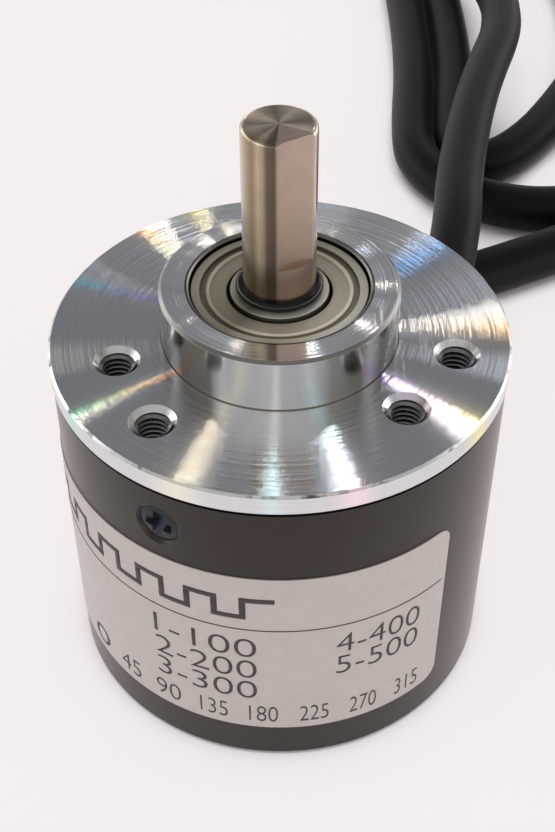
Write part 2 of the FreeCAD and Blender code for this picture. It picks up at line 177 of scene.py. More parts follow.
# Turned aluminium: the colours of its fans are painted in by angle round the axis, faintly split, another hue inside
# than outside: painted reflection colours. Radii and heights in mm.
flangeLook = {"feed": 0.035, "markDepth": 0.005, "roughness": 0.12, "scratchRoughness": 0.26, "fanShare": 0.7,
              "fanInside": 11.0, "fanOutside": 18.5, "spigotRadius": 10.04, "spigotTop": 4.74, "boreMouth": 7.8,
              "plain": "#d2d3d5", "spigotTopColour": "#ececed", "mouthShade": "#6f6b66", "cornerShade": "#a39a90"}
material, tree, shader, place, radius, height, around, marked = ringMetal(
    "turned aluminium, fine feed", "#c9cbcd", "#d9dbdd", flangeLook["feed"], flangeLook["markDepth"],
    {"Roughness": flangeLook["roughness"], "Anisotropic": 1.0})
# angle, half width, painted reflection colour outside and colour inside of each fan
paintedFanHues = [(-148, 3, "#9fecc4", "#ffc094"), (-114, 8, "#f6f0dc", "#fff8ea"), (-92, 3, "#cfeef2", "#ffffff"),
        (-73, 6, "#ffe3ee", "#d9fbff"), (-36, 7, "#fff0a8", "#d4bcff"), (0, 8, "#ffd9ae", "#ffffff"),
        (39, 9, "#b4d2ff", "#7fb0ee"), (115, 5, "#fff4cc", "#e6d9ff"), (131, 6, "#ffcda8", "#8df0d8"),
        (159, 4, "#a6e8ea", "#cfaeee")]
tints = []
for which in (2, 3):
    stops = []
    for fan in paintedFanHues:
        for offset, colour in ((-fan[1], flangeLook["plain"]), (0, fan[which]), (fan[1], flangeLook["plain"])):
            stops.append((fan[0] + offset, colour))
    ramp = addNode(tree, "ShaderNodeValToRGB", {}, {}, {"Fac": around})
    setRamp(ramp, byAngle(stops))
    tints.append(ramp.outputs["Color"])
outwards = addNode(tree, "ShaderNodeMapRange", {},
                   {"From Min": flangeLook["fanInside"] * mm, "From Max": flangeLook["fanOutside"] * mm},
                   {"Value": radius})
paintedFanTint = addNode(tree, "ShaderNodeMix", {"data_type": "RGBA"}, {},
                  {0: outwards.outputs["Result"], 6: tints[1], 7: tints[0]})
# the spigot's wall has painted upright light and dark bands instead, painted reflections; its top is even and the mouth
# of its bore is painted darker, a painted shade
paintedWallBands = addNode(tree, "ShaderNodeValToRGB", {}, {}, {"Fac": around})
setRamp(paintedWallBands, byAngle((
    (-180, "#9a958f"), (-155, "#8f8a84"), (-148, "#e8e4de"), (-142, "#8b857e"), (-124, "#8b857e"), (-118, "#eeeeee"),
    (-113, "#cfcfd2"), (-100, "#e0e0e3"), (-92, "#f2f2f2"), (-88, "#d8dadd"), (-75, "#d2d4d7"), (-66, "#9a9892"),
    (-50, "#8c8983"), (-44, "#dcdad6"), (-36, "#8f8b85"), (0, "#b4b2ae"), (90, "#c4c4c4"), (180, "#9a958f"))))
spigot = paintedWallBands.outputs["Color"]
for source, start, end, colour in (
        (height, flangeLook["spigotTop"], flangeLook["spigotTop"] + 0.06, flangeLook["spigotTopColour"]),
        (radius, flangeLook["boreMouth"] + 0.04, flangeLook["boreMouth"], flangeLook["mouthShade"])):
    share = addNode(tree, "ShaderNodeMapRange", {}, {"From Min": start * mm, "From Max": end * mm}, {"Value": source})
    spigot = addNode(tree, "ShaderNodeMix", {"data_type": "RGBA"}, {7: linear(colour)},
                     {0: share.outputs["Result"], 6: spigot}).outputs[2]
onSpigot = addNode(tree, "ShaderNodeMapRange", {},
                   {"From Min": (flangeLook["spigotRadius"] + 0.06) * mm, "From Max": flangeLook["spigotRadius"] * mm},
                   {"Value": radius})
tint = addNode(tree, "ShaderNodeMix", {"data_type": "RGBA"}, {},
               {0: onSpigot.outputs["Result"], 6: paintedFanTint.outputs[2], 7: spigot})
toned = addNode(tree, "ShaderNodeMix", {"data_type": "RGBA", "blend_type": "OVERLAY"}, {0: flangeLook["fanShare"]},
                {6: tint.outputs[2], 7: marked})
# a painted shade line in the corner round the spigot
atFoot = addNode(tree, "ShaderNodeMapRange", {}, {"From Min": 0.16 * mm, "From Max": 0.08 * mm}, {"Value": height})
corner = addNode(tree, "ShaderNodeMath", {"operation": "MULTIPLY"}, {},
                 {0: onSpigot.outputs["Result"], 1: atFoot.outputs["Result"]})
surface = addNode(tree, "ShaderNodeMix", {"data_type": "RGBA"}, {7: linear(flangeLook["cornerShade"])},
                  {0: corner.outputs["Value"], 6: toned.outputs[2]}).outputs[2]
# the broken edges are darker: worn nicks along the flange's, and along the spigot's an even grey that is a painted
# shade over its reflection
chips = addNode(tree, "ShaderNodeTexNoise", {}, {"Scale": 1 / (1.6 * mm), "Detail": 4.0}, {"Vector": place})
chipped = addNode(tree, "ShaderNodeMapRange", {}, {"From Min": 0.52, "From Max": 0.68}, {"Value": chips.outputs["Fac"]})
for inner, lower, nickOrShadeColour, chipShare in ((19.28, -0.22, "#5d5853", chipped.outputs["Result"]),
                                      (9.73, flangeLook["spigotTop"], "#858381", None)):
    outside = addNode(tree, "ShaderNodeMapRange", {},
                      {"From Min": inner * mm, "From Max": (inner + 0.03) * mm}, {"Value": radius})
    above = addNode(tree, "ShaderNodeMapRange", {},
                    {"From Min": lower * mm, "From Max": (lower + 0.03) * mm}, {"Value": height})
    brokenEdge = addNode(tree, "ShaderNodeMath", {"operation": "MULTIPLY"}, {},
                         {0: outside.outputs["Result"], 1: above.outputs["Result"]})
    if chipShare:
        brokenEdge = addNode(tree, "ShaderNodeMath", {"operation": "MULTIPLY"}, {},
                             {0: brokenEdge.outputs["Value"], 1: chipShare})
    surface = addNode(tree, "ShaderNodeMix", {"data_type": "RGBA"}, {7: linear(nickOrShadeColour)},
                      {0: brokenEdge.outputs["Value"], 6: surface}).outputs[2]
tree.links.new(surface, shader.inputs["Base Color"])
# a few scratches across the marks scatter the light
stretched = addNode(tree, "ShaderNodeMapping", {}, {"Rotation": (0, 0, 0.6), "Scale": (1, 0.04, 1)}, {"Vector": place})
strokes = addNode(tree, "ShaderNodeTexNoise", {}, {"Scale": 1 / (0.25 * mm), "Detail": 1.0, "Distortion": 0.5},
                  {"Vector": stretched.outputs["Vector"]})
patches = addNode(tree, "ShaderNodeTexNoise", {}, {"Scale": 1 / (9 * mm), "Detail": 1.0}, {"Vector": place})
rare = addNode(tree, "ShaderNodeMath", {"operation": "MULTIPLY"}, {},
               {0: strokes.outputs["Fac"], 1: patches.outputs["Fac"]})
scratched = addNode(tree, "ShaderNodeMapRange", {},
                    {"From Min": 0.4, "From Max": 0.46, "To Min": flangeLook["roughness"],
                     "To Max": flangeLook["scratchRoughness"]}, {"Value": rare.outputs["Value"]})
tree.links.new(scratched.outputs["Result"], shader.inputs["Roughness"])
finish["turned_aluminium"] = material

# Ground stainless steel: warm, in upright light and dark bands painted in by angle round the axis, painted reflections.
# Its marks, and the bearing's, are drawn coarser than real ones.
material, tree, shader, place, radius, height, around, marked = ringMetal(
    "ground stainless steel", "#b4aba0", "#bdb4a9", 0.6, 0.004, {"Roughness": 0.22, "Anisotropic": 0.8})
ramp = addNode(tree, "ShaderNodeValToRGB", {}, {}, {"Fac": around})
setRamp(ramp, byAngle((
    (-180, "#a0968a"), (-165, "#cdc5b9"), (-150, "#b5a897"), (-134, "#94866f"), (-123, "#bfb3a2"), (-115, "#a99d8c"),
    (-109, "#6f655b"), (-97, "#61574e"), (-92, "#b3a399"), (-30, "#b7a89e"), (-24, "#d3ccc2"), (10, "#938676"),
    (60, "#cbc1b3"), (100, "#897d6f"), (140, "#c9bfb1"), (180, "#a0968a"))))
paintedReflectionBands = addNode(tree, "ShaderNodeMix", {"data_type": "RGBA", "blend_type": "OVERLAY"}, {0: 0.5},
                 {6: ramp.outputs["Color"], 7: marked})
tree.links.new(paintedReflectionBands.outputs[2], shader.inputs["Base Color"])
finish["stainless_steel"] = material

# Bearing steel is cool and bright, the pressed shields are duller. The narrow gaps are painted dark, a painted shade,
# and each shield's bead is painted bright, a painted highlight (radius in mm and colour); the metal is painted darker
# away from the front, a painted shade.
for slot, name, pitch, values, stops in (
        ("bearing_steel", "ground bearing steel", 0.2, {"Metallic": 0.75, "Roughness": 0.46, "Anisotropic": 0.4},
         ((3.1, "#8d887e"), (3.3, "#e2dfd8"), (4.04, "#e6e3dc"), (4.1, "#6a645a"),
          (6.58, "#8f8474"), (6.68, "#e4e0d7"), (7.26, "#dedbd4"), (7.34, "#2a2622"))),
        ("pressed_steel", "pressed steel sheet", 0.4, {"Metallic": 0.7, "Roughness": 0.52, "Anisotropic": 0.3},
         ((4.38, "#5a5347"), (4.44, "#d3cec3"), (5.7, "#dad5ca"), (5.8, "#fbf3e6"), (6.08, "#fbf3e6"),
          (6.16, "#b3a692"), (6.5, "#a39784")))):
    material, tree, shader, place, radius, height, around, marked = ringMetal(
        name, "#7a7a7a", "#868686", pitch, 0.006, values)
    outwards = addNode(tree, "ShaderNodeMapRange", {}, {"From Min": 3 * mm, "From Max": 8 * mm}, {"Value": radius})
    ramp = addNode(tree, "ShaderNodeValToRGB", {}, {}, {"Fac": outwards.outputs["Result"]})
    setRamp(ramp, [((r - 3) / 5, colour) for r, colour in stops])
    toned = addNode(tree, "ShaderNodeMix", {"data_type": "RGBA", "blend_type": "OVERLAY"}, {0: 0.5},
                    {6: ramp.outputs["Color"], 7: marked})
    # painted shade by side: darker away from the front, lightest in front
    film = addNode(tree, "ShaderNodeValToRGB", {}, {}, {"Fac": around})
    setRamp(film, byAngle((
        (-180, "#bcb8b0"), (-150, "#aba69c"), (-128, "#aba69c"), (-105, "#ffffff"), (-60, "#ffffff"),
        (-20, "#ededeb"), (60, "#c8c4bc"), (180, "#bcb8b0"))))
    sideShaded = addNode(tree, "ShaderNodeMix", {"data_type": "RGBA", "blend_type": "MULTIPLY"}, {0: 1.0},
                     {6: toned.outputs[2], 7: film.outputs["Color"]})
    tree.links.new(sideShaded.outputs[2], shader.inputs["Base Color"])
    finish[slot] = material

# Black anodised: nearly no colour of its own, a satin gloss that turns grey where it is seen edge on
material, tree, shader, place = newMaterial("black anodised aluminium", {
    "Roughness": 0.36, "IOR": 1.45, "Sheen Weight": 0.75, "Sheen Roughness": 0.25,
    "Specular Tint": linear("#ffe6de"), "Sheen Tint": linear("#ffece6")})
# the etched grain is drawn coarser than it is
noise = addNode(tree, "ShaderNodeTexNoise", {}, {"Scale": 1 / (0.25 * mm), "Detail": 3.0}, {"Vector": place})
ramp = addNode(tree, "ShaderNodeValToRGB", {}, {}, {"Fac": noise.outputs["Fac"]})
setRamp(ramp, [(0.3, "#141211"), (0.7, "#1a1716")])
tree.links.new(ramp.outputs["Color"], shader.inputs["Base Color"])
bump = addNode(tree, "ShaderNodeBump", {}, {"Strength": 0.2, "Distance": 0.01 * mm}, {"Height": noise.outputs["Fac"]})
tree.links.new(bump.outputs["Normal"], shader.inputs["Normal"])
finish["black_anodised"] = material

# slot, name, two colours, grain and relief in mm (the real grains are too fine to show, so they are drawn coarser)
for slot, name, dark, light, grain, lift, values in (
        # cut and oxidised metal: thread crests and upper flanks in a painted lit colour over lower flanks and roots
        # painted dark as shade, a screw that shows only by its highlights
        ("thread", "tapped aluminium", "#747577", "#909294", 0.2, 0.004, {"Metallic": 1.0, "Roughness": 0.3}),
        ("thread_root", "shaded thread root", "#1c1b1a", "#2b2a28", 0.2, 0.004, {"Metallic": 0.6, "Roughness": 0.3}),
        ("black_screw", "black oxide steel", "#121314", "#1a1b1d", 0.2, 0.004, {"Metallic": 0.3, "Roughness": 0.34}),
        ("screw_recess", "burnished black oxide", "#3f454e", "#525963", 0.2, 0.004,
         {"Metallic": 0.8, "Roughness": 0.36}),
        ("capacitor_can", "drawn aluminium can", "#a3a6a9", "#adb0b3", 0.4, 0.002,
         {"Metallic": 1.0, "Roughness": 0.35}),
        ("braid", "tinned copper strands", "#b0ab9f", "#c0bbb0", 0.15, 0.02, {"Metallic": 1.0, "Roughness": 0.35}),
        # film, ink and glass: the label's silver is satin and slightly warm, its ink flat
        ("label_film", "silver polyester film", "#bbb0ad", "#c0b6b3", 1.2, 0.002, {"Metallic": 0.1, "Roughness": 0.4}),
        ("label_ink", "printed black ink", "#2b2523", "#3a322f", 0.3, 0.0, {"Roughness": 0.5}),
        ("disc_film", "exposed disc film", "#352d22", "#3f372b", 0.8, 0.0, {"Roughness": 0.2}),
        ("clear_glass", "clear glass", "#dbe6e4", "#e2eae8", 1.0, 0.0,
         {"Roughness": 0.05, "Transmission Weight": 1.0}),
        # rubber and plastics: the ring is wet black, the jacket dull with paler edges, the cores plain and glossy
        ("black_rubber", "nitrile rubber", "#070707", "#0c0c0c", 0.3, 0.004,
         {"Roughness": 0.17, "Specular IOR Level": 0.32}),
        ("black_plastic", "black moulded plastic", "#151618", "#1b1c1e", 0.3, 0.005, {"Roughness": 0.45}),
        ("board_laminate", "green board laminate", "#1a5433", "#20603b", 0.6, 0.002, {"Roughness": 0.4}),
        ("header_nylon", "white nylon", "#e2ded2", "#eae6da", 0.5, 0.003, {"Roughness": 0.5}),
        ("core_insulation", "grey core insulation", "#84888d", "#90949a", 0.4, 0.002, {"Roughness": 0.45}),
        ("cable_jacket", "black cable jacket", "#0e0d0d", "#151414", 0.35, 0.01,
         {"Roughness": 0.5, "Specular IOR Level": 0.12, "Sheen Weight": 0.12, "Sheen Roughness": 0.3}),
        ("red_core", "red insulation", "#ab1c18", "#ba2622", 0.4, 0.002, {"Roughness": 0.42}),
        ("black_core", "black insulation", "#131314", "#1a1a1b", 0.4, 0.002, {"Roughness": 0.42}),
        ("white_core", "white insulation", "#e2e0da", "#ebe9e3", 0.4, 0.002, {"Roughness": 0.42}),
        ("green_core", "green insulation", "#1b7338", "#238243", 0.4, 0.002, {"Roughness": 0.42})):
    finish[slot] = grained(name, dark, light, grain, lift, values)
for part in frame["record"]["subparts"]:
    item = nodes[part["node"]]
    item.data.materials.clear()
    item.data.materials.append(finish[part["material_slot"]])
print("materials made")

cableLook = {"radius": 3.0, "smoothness": 12}


def fold(centre, radius, start, heights):
    # half a turn clockwise from start, its points just outside the radius that the curve then follows
    reach = radius / math.cos(math.radians(15))
    points = []
    for k, z in enumerate(heights):
        points.append(polar(reach, start - 15 - 30 * k, z) + Vector((*centre, 0)))
    return points


def addCurve(name, points, radius, material, smoothness):
    curve = bpy.data.curves.new(name, "CURVE")
    curve.dimensions = "3D"
    curve.bevel_depth = radius * mm
    curve.bevel_resolution = 6
    curve.use_fill_caps = True
    spline = curve.splines.new("NURBS")
    spline.points.add(len(points) - 1)
    for knot, point in zip(spline.points, points):
        knot.co = (*(Vector(point) * mm), 1.0)
    spline.order_u = 3
    spline.use_endpoint_u = True
    spline.resolution_u = smoothness
    item = bpy.data.objects.new(name, curve)
    scene.collection.objects.link(item)
    item.data.materials.append(material)
    return item


lying = tableZ + cableLook["radius"]  # a strand's middle when it lies on the table
flat = [lying] * 6
# out of the can, over its own tail and the near folds, along the left side and over the far fold below it
route = [(7.2, 12.471, -27.9), (16.7, 28.925, -27.9), (21.6, 47.5, -24.4), (23.3, 62.2, -24.6), (27.8, 82.8, -24.6),
         (35.4, 106.2, -25.4), (31.5, 125.0, -25.6), (24.0, 143.0, -25.2), (22.1, 158.0, -25.2), (22.1, 174.0, -25.2)]
route += fold((36.0, 178.0), 14.0, 180, [-25.1, -25.0, -25.0, -25.4, -27.0, -29.5])
# inner turn: the near fold is pinched on its left, as it lies there; the tie lifts every strand by 0.6
route += [(50.0, 173.0, lying), (50.0, 152.0, lying), (49.4, 128.0, lying + 0.6), (47.0, 100.0, lying),
          (40.6, 87.6, lying), (34.8, 78.6, lying), (29.2, 73.4, lying), (24.4, 75.0, lying),
          (24.9, 84.0, lying), (26.9, 102.0, lying), (26.7, 130.0, lying), (25.4, 158.0, lying), (25.2, 173.8, lying)]
route += fold((40.7, 178.0), 15.5, 180, flat)
# outer turn
route += [(56.2, 173.8, lying), (56.2, 150.0, lying), (55.6, 128.0, lying + 0.6), (52.0, 100.0, lying),
          (51.0, 82.9, lying)]
route += fold((35.0, 78.6), 16.0, 0, flat)
route += [(19.0, 82.9, lying), (20.8, 102.0, lying), (20.6, 130.0, lying), (19.2, 158.0, lying), (19.0, 172.2, lying)]
route += fold((40.7, 178.0), 21.7, 180, flat)
route += [(62.4, 172.2, lying), (62.4, 150.0, lying), (62.6, 128.0, lying + 0.6), (63.0, 103.0, lying),
          (62.5, 88.0, lying), (58.0, 73.0, lying), (49.0, 61.0, lying), (34.0, 52.6, lying), (17.5, 44.6, lying),
          (0.5, 39.8, lying), (-9.0, 38.6, lying)]
cable = addCurve("cable", route, cableLook["radius"], finish["cable_jacket"], cableLook["smoothness"])
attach(cable, "housing")
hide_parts("cable_lead", "cable_hank", "cable_tail")

leadLook = {"radius": 0.55, "strandRadius": 0.34, "bareLength": 4.0, "length": 17.0, "spacing": 1.2, "spread": 3.6}
cableEnd = Vector((-9.0, 38.6, lying))
along = Vector((-0.992, -0.1253, 0))
across = Vector((0.1253, -0.992, 0))
drop = Vector((0, 0, leadLook["radius"] + 0.1 - cableLook["radius"]))
cablePieces = []
for k, colour in enumerate(("red", "black", "white", "green", "shield")):
    shift = leadLook["spacing"] * (k - 2)
    tip = cableEnd + along * leadLook["length"] + across * shift * leadLook["spread"] + drop
    middle = cableEnd + along * 11 + across * shift * 2 + drop
    back = (middle - tip).normalized()
    strip = tip + back * leadLook["bareLength"]
    start = cableEnd + across * shift
    finishName = "braid" if colour == "shield" else colour + "_core"
    lead = addCurve(colour + "Lead", [start - along * 1.5, start + along * 4, middle, strip],
                    leadLook["radius"], finish[finishName], 8)
    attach(lead, "housing")
    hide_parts(colour + "_lead")
    strand = addCurve(colour + "Strands", [strip + back, tip], leadLook["strandRadius"], finish["braid"], 4)
    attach(strand, "housing")
    cablePieces += [lead, strand]

tieLook = {"width": 6.0, "thickness": 0.6, "from": 128.0, "leftSide": 46.2, "rightSide": 65.7, "height": 6.0,
           "edgeRadius": 0.15}
shape = bmesh.new()
loops = []
half = tieLook["height"] / 2
for inset in (0.0, tieLook["thickness"]):
    r = half + tieLook["thickness"] - inset
    z = tableZ + tieLook["thickness"] + half
    outline = [polar(r, 90 + 7.5 * k, 0) + Vector((tieLook["leftSide"] + half, 0, 0)) for k in range(25)]
    outline += [polar(r, -90 + 7.5 * k, 0) + Vector((tieLook["rightSide"] - half, 0, 0)) for k in range(25)]
    for y in (tieLook["from"], tieLook["from"] + tieLook["width"]):
        loops.append([shape.verts.new(Vector((p.x, y, z + p.y)) * mm) for p in outline])
outerNear, outerFar, innerNear, innerFar = loops
count = len(outerNear)
for first, second in ((outerNear, outerFar), (outerFar, innerFar), (innerFar, innerNear), (innerNear, outerNear)):
    for k in range(count):
        n = (k + 1) % count
        shape.faces.new((first[k], first[n], second[n], second[k]))
tie = addMesh("cableTie", toMesh(shape, "cableTie"), finish["black_plastic"])
rounding = tie.modifiers.new("roundedEdge", "BEVEL")
rounding.width = tieLook["edgeRadius"] * mm
rounding.segments = 2
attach(tie, "housing")
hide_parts("hank_tie")
print("cable laid")

# Threads: one helix of a blunt V section in each hole
threadLook = {"outerRadius": 1.52, "crestRadius": 1.24, "pitch": 0.5, "top": -0.5, "turns": 9, "steps": 36}
holeRings = ((14.0, 76.0), (15.0, 108.0))  # radius in mm and angle of the first hole
shape = bmesh.new()
section = [(threadLook["outerRadius"], -0.42), (threadLook["crestRadius"], -0.09),
           (threadLook["crestRadius"], 0.09), (threadLook["outerRadius"], 0.42)]  # heights in pitches
for ring, firstAngle in holeRings:
    for hole in range(3):
        centre = polar(ring, firstAngle + 120 * hole, 0)
        before = None
        for k in range(threadLook["turns"] * threadLook["steps"] + 1):
            turnShare = k / threadLook["steps"]
            z = threadLook["top"] - (threadLook["turns"] - turnShare) * threadLook["pitch"]
            row = [shape.verts.new((centre + polar(r, 360 * turnShare, z + threadLook["pitch"] * h)) * mm)
                   for r, h in section]
            if before is None:
                shape.faces.new(row)
            else:
                for i in range(4):
                    j = (i + 1) % 4
                    side = shape.faces.new((before[i], before[j], row[j], row[i]))
                    # the crest and upper flank take the painted lit colour, the lower flank and root the painted shade
                    side.material_index = 0 if i in (1, 2) else 1
            before = row
        shape.faces.new(before[::-1])
threads = addMesh("tappedThreads", toMesh(shape, "tappedThreads"), finish["thread"])
threads.data.materials.append(finish["thread_root"])
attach(threads, "housing")
print("threads cut")

# The front bearing's rings are turned again here, finer than the solids, with a rounded bead on each shield
bearingLook = {"middle": 2.1, "ballPath": 5.25, "grooveRadius": 1.41, "beadHeight": 0.22, "steps": 128}


def spinProfile(shape, profile, closed, steps):
    chain = [shape.verts.new((r * mm, 0, z * mm)) for r, z in profile]
    edges = [shape.edges.new(pair) for pair in zip(chain, chain[1:])]
    if closed:
        edges.append(shape.edges.new((chain[-1], chain[0])))
    bmesh.ops.spin(shape, geom=chain + edges, axis=(0, 0, 1), cent=(0, 0, 0), steps=steps, angle=2 * math.pi)


def spun(name, profiles, body, node, slot):
    shape = bmesh.new()
    for profile in profiles:
        spinProfile(shape, profile, True, bearingLook["steps"])
    bmesh.ops.remove_doubles(shape, verts=shape.verts, dist=1e-7)
    piece = addMesh(name, toMesh(shape, name), finish[slot])
    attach(piece, body)
    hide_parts(node)


def arc(centre, wide, high, first, last, count):
    turns = [math.radians(first + (last - first) * k / count) for k in range(count + 1)]
    return [(centre[0] + wide * math.cos(t), centre[1] + high * math.sin(t)) for t in turns]


ballCentre = (bearingLook["ballPath"], bearingLook["middle"])
groove = bearingLook["grooveRadius"]
innerRace = [(3.2, 4.6), (4.03, 4.6), (4.1, 4.53)] + arc(ballCentre, groove, groove, 144.6, 215.4, 12)
innerRace += [(4.1, -0.33), (4.03, -0.4), (3.2, -0.4), (3.0, -0.2), (3.0, 4.4)]
spun("frontInnerRace", [innerRace], "rotor", "front_inner_race", "bearing_steel")
outerRace = [(6.67, 4.6), (7.3, 4.6), (7.5, 4.4), (7.5, -0.2), (7.3, -0.4), (6.67, -0.4), (6.6, -0.33), (6.6, 0.1),
             (6.4, 0.1)]
outerRace += arc(ballCentre, groove, groove, -35.4, 35.4, 12) + [(6.4, 4.1), (6.6, 4.1), (6.6, 4.53)]
spun("frontOuterRace", [outerRace], "housing", "front_outer_race", "bearing_steel")
plate = [(4.35, 4.1), (4.35, 4.26), (4.39, 4.3)] + arc((5.95, 4.3), 0.2, bearingLook["beadHeight"], 180, 0, 10)
plate += [(6.6, 4.3), (6.6, 4.1), (6.05, 4.1), (5.95, 4.32), (5.85, 4.1)]
mirrored = [(r, 2 * bearingLook["middle"] - z) for r, z in plate]
spun("frontShields", [plate, mirrored], "housing", "front_shields", "pressed_steel")
# the rubber ring is flattened where it grips the shaft and lies on the race
rubber = [(max(r, 2.8), max(z, 4.6)) for r, z in arc((3.204, 5.004), 0.425, 0.425, 0, 345, 23)]
spun("shaftRing", [rubber], "rotor", "shaft_o_ring", "black_rubber")
print("bearing turned")

screwLook = {"headRadius": 1.9, "crown": 0.12, "armLength": 1.25, "armWidth": 0.95, "recessDepth": 0.8,
             "seat": 19.18, "height": -5.9}
crown = screwLook["crown"]
shape = bmesh.new()
spinProfile(shape, [(0.0, -3.0), (0.78, -3.0), (0.8, -1.4), (1.86, -0.4), (screwLook["headRadius"], -0.28),
                    (1.88, -0.14), (1.8, -0.06), (1.5, 0.0), (1.0, crown * 0.7), (0.5, crown * 0.95), (0.0, crown)],
            False, 48)
bmesh.ops.remove_doubles(shape, verts=shape.verts, dist=1e-7)
head = addMesh("screwHead", toMesh(shape, "screwHead"), finish["black_screw"])
head.data.materials.append(finish["screw_recess"])
# the cross is cut by two wedges that narrow downwards
shape = bmesh.new()
for quarter in (0, 90):
    rows = []
    spinBy = Matrix.Rotation(math.radians(quarter), 3, "Z")
    for z, share in ((-screwLook["recessDepth"], 0.45), (0.4, 1.25)):
        length, halfWidth = screwLook["armLength"] * share, screwLook["armWidth"] / 2 * (0.7 + 0.3 * share)
        corners = [(-length, -halfWidth), (length, -halfWidth), (length, halfWidth), (-length, halfWidth)]
        rows.append([shape.verts.new(spinBy @ Vector((x, y, z)) * mm) for x, y in corners])
    shape.faces.new(rows[0][::-1])
    shape.faces.new(rows[1])
    for i in range(4):
        j = (i + 1) % 4
        shape.faces.new((rows[0][i], rows[0][j], rows[1][j], rows[1][i]))
for side in shape.faces:
    side.material_index = 1
cutter = addMesh("crossCutter", toMesh(shape, "crossCutter"), finish["black_screw"])
cutter.data.materials.append(finish["screw_recess"])
cut = head.modifiers.new("crossRecess", "BOOLEAN")
cut.object = cutter
cut.solver = "EXACT"
cut.use_self = True
single = baked(head)
bpy.data.objects.remove(cutter)
shape = bmesh.new()
for angle in (0, 120, 240):
    outwardTurn = Matrix.Rotation(math.radians(angle), 4, "Z") @ Matrix.Rotation(math.radians(90), 4, "Y")
    ownTurn = Matrix.Rotation(math.radians(25 + angle), 4, "Z")  # no two crosses stand alike
    seat = Matrix.Translation(polar(screwLook["seat"], angle, screwLook["height"]) * mm)
    copy = single.copy()
    copy.transform(seat @ outwardTurn @ ownTurn)
    shape.from_mesh(copy)
screws = addMesh("sideScrews", toMesh(shape, "sideScrews"), finish["black_screw"])
screws.data.materials.append(finish["screw_recess"])
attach(screws, "housing")
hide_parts("can_screws")
print("screws driven")

# Label print: a square wave, a rule and plain numbers. Each text fills left and right angle, lower and upper height.
printLook = {"radius": 19.51, "thickness": 0.02, "waveFrom": -205.0, "waveTo": -93.0, "waveLow": -14.6,
             "waveHigh": -11.9, "stroke": 0.55, "halfPeriod": 7.0, "ruleFrom": -223.0, "ruleTo": -45.5,
             "ruleHeight": -16.0, "ruleWidth": 0.13, "slice": 0.6}
texts = [("1-100", -123.5, -96.0, -19.6, -17.2), ("2-200", -123.5, -96.0, -22.5, -20.1),
         ("3-300", -123.5, -96.0, -25.4, -23.0), ("4-400", -76.0, -52.5, -19.6, -17.2),
         ("5-500", -76.0, -52.5, -22.5, -20.1)]
texts += [(str(45 * k), -151.0 + 13.2 * k, -143.5 + 13.2 * k, -28.7, -26.5) for k in range(8)]
mmPerDegree = math.radians(printLook["radius"])


def addRectangle(shape, x0, x1, z0, z1):
    shape.faces.new([shape.verts.new((x, z, 0)) for x, z in ((x0, z0), (x1, z0), (x1, z1), (x0, z1))])


shape = bmesh.new()
angle, level, stroke = printLook["waveFrom"], 0, printLook["stroke"]
heights = (printLook["waveLow"], printLook["waveHigh"] - stroke)
while angle < printLook["waveTo"]:
    x0, x1 = angle * mmPerDegree, (angle + printLook["halfPeriod"]) * mmPerDegree
    addRectangle(shape, x0, x1 + stroke, heights[level], heights[level] + stroke)
    if angle + printLook["halfPeriod"] < printLook["waveTo"]:
        addRectangle(shape, x1, x1 + stroke, heights[0] + stroke, heights[1])
    angle += printLook["halfPeriod"]
    level = 1 - level
addRectangle(shape, printLook["ruleFrom"] * mmPerDegree, printLook["ruleTo"] * mmPerDegree,
             printLook["ruleHeight"], printLook["ruleHeight"] + printLook["ruleWidth"])
for words, leftAngle, rightAngle, lowZ, highZ in texts:
    letters = bpy.data.curves.new("number", "FONT")
    letters.body = words
    letters.offset = -0.012
    holder = bpy.data.objects.new("number", letters)
    scene.collection.objects.link(holder)
    bpy.context.view_layer.update()
    mesh = baked(holder)
    xs = [v.co.x for v in mesh.vertices]
    ys = [v.co.y for v in mesh.vertices]
    for v in mesh.vertices:
        shareX = (v.co.x - min(xs)) / (max(xs) - min(xs))
        shareY = (v.co.y - min(ys)) / (max(ys) - min(ys))
        v.co = ((leftAngle + (rightAngle - leftAngle) * shareX) * mmPerDegree, lowZ + (highZ - lowZ) * shareY, 0)
    shape.from_mesh(mesh)
# cut into narrow slices, so that it can be bent round the can
for k in range(120):
    everything = shape.verts[:] + shape.edges[:] + shape.faces[:]
    bmesh.ops.bisect_plane(shape, geom=everything, plane_co=(-76.0 + printLook["slice"] * k, 0, 0), plane_no=(1, 0, 0))
for v in shape.verts:
    v.co = polar(printLook["radius"], v.co.x / mmPerDegree, v.co.y) * mm
labelPrint = addMesh("labelPrint", toMesh(shape, "labelPrint"), finish["label_ink"])
thicken = labelPrint.modifiers.new("inkThickness", "SOLIDIFY")
thicken.thickness = printLook["thickness"] * mm
thicken.offset = 0.0
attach(labelPrint, "housing")
print("label printed")

# White table top: most of what is seen of it is its own white, so that its shadows stay faint
tableLook = {"size": 20.0, "ownWhite": 0.78, "shadeReach": 10.0}
shape = bmesh.new()
bmesh.ops.create_grid(shape, x_segments=2, y_segments=2, size=tableLook["size"])
tableTop = grained("white table top", "#f6f0f0", "#f9f3f3", 9.0, 0.0, {"Roughness": 0.5})
tree = tableTop.node_tree
rays = addNode(tree, "ShaderNodeLightPath")
seen = addNode(tree, "ShaderNodeMath", {"operation": "ADD"}, {},
               {0: rays.outputs["Is Camera Ray"], 1: rays.outputs["Is Glossy Ray"]})
seen = addNode(tree, "ShaderNodeMath", {"operation": "ADD"}, {},
               {0: seen.outputs["Value"], 1: rays.outputs["Is Transmission Ray"]})
